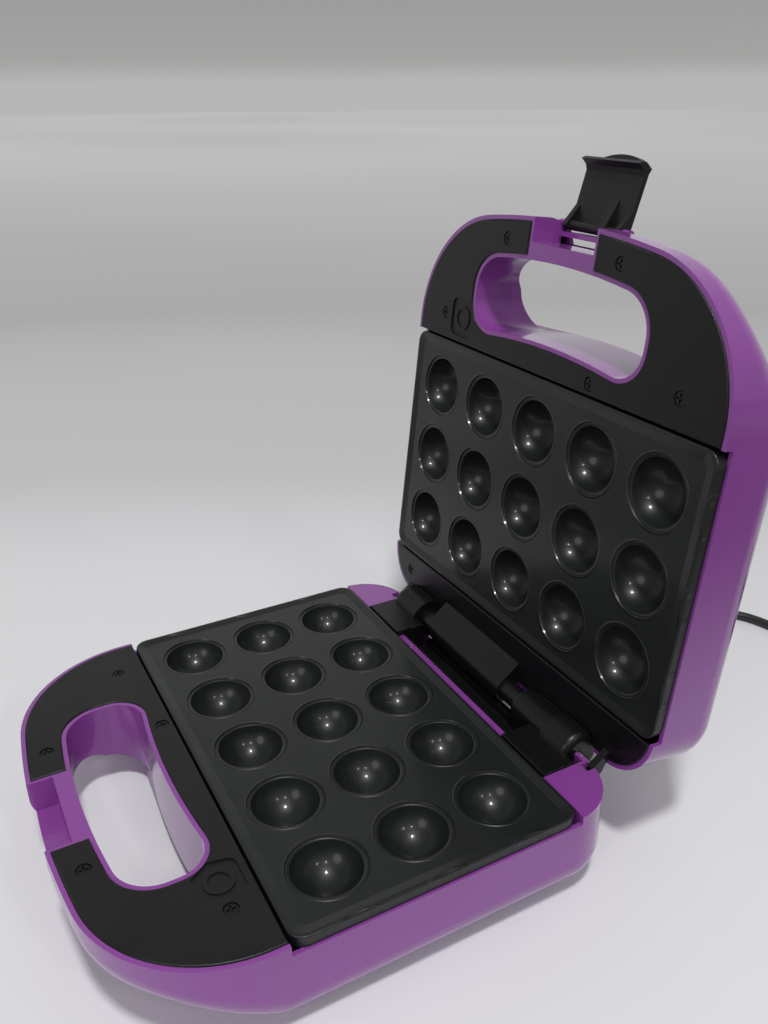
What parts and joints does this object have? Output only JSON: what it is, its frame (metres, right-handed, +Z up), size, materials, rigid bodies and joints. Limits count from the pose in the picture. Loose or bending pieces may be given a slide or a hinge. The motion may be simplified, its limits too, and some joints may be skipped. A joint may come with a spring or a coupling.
{
  "type": "snack maker",
  "caption": "Countertop snack maker with a hinged lid, round cavities in both cooking plates, open carrying handles and a front latch, shown open.",
  "frame": {"origin": "on the table under the middle of the open machine's box, without the cord", "axes": "+X along the hinge, to the right as seen from the handle; +Y from the handle to the hinge; +Z up"},
  "size_m": [0.2631, 0.5705, 0.2986],
  "materials": {
    "purple_plastic": "glossy moulded",
    "black_plastic": "fine satin grain",
    "nonstick_metal": "satin non-stick coat",
    "bare_aluminium": "pressed sheet",
    "heater_sheath": "dull grey",
    "steel": "zinc plated",
    "fuse_sleeve": "woven glass sleeve",
    "white_plastic": "moulded",
    "black_rubber": "soft satin",
    "plug_plastic": "moulded",
    "plug_metal": "nickel plated",
    "lens_plastic": "clear red",
    "lamp_glass": "clear"
  },
  "bodies": {
    "base": {"base_casing": "purple_plastic", "base_handle_cover": "black_plastic", "hinge_bracket": "black_plastic", "base_plate": "nonstick_metal", "base_heater": "heater_sheath", "base_reflector": "bare_aluminium", "base_plate_screws": "steel", "base_cover_screws": "steel", "thermostat": "steel", "thermal_fuse": "fuse_sleeve", "terminal_block": "white_plastic", "hinge_leads": "black_rubber", "rubber_feet": "black_rubber", "cord_strain_relief": "black_rubber", "power_cord": "black_rubber", "cord_coil": "black_rubber", "coil_tie": "black_rubber", "plug_body": "plug_plastic", "plug_pins": "plug_metal"},
    "lid": {"lid_casing": "purple_plastic", "lid_handle_cover": "black_plastic", "lid_rear_cover": "black_plastic", "lid_plate": "nonstick_metal", "lid_heater": "heater_sheath", "lid_reflector": "bare_aluminium", "lid_plate_screws": "steel", "lid_cover_screws": "steel", "lid_rear_screws": "steel", "lamp_lenses": "lens_plastic", "lamps": "lamp_glass", "hinge_pins": "steel", "latch_pin": "steel"},
    "latch": {"latch": "black_plastic"}
  },
  "joints": [
    {"name": "lid_hinge", "type": "hinge", "parent": "base", "child": "lid", "pos_m": [0, 0.08168, 0.0436], "axis": [1, 0, 0], "range_deg": [0, 96.5]},
    {"name": "latch_pivot", "type": "hinge", "parent": "lid", "child": "latch", "pos_m": [0, 0.13032, 0.26733], "axis": [1, 0, 0], "range_deg": [0, 114.5]}
  ]
}
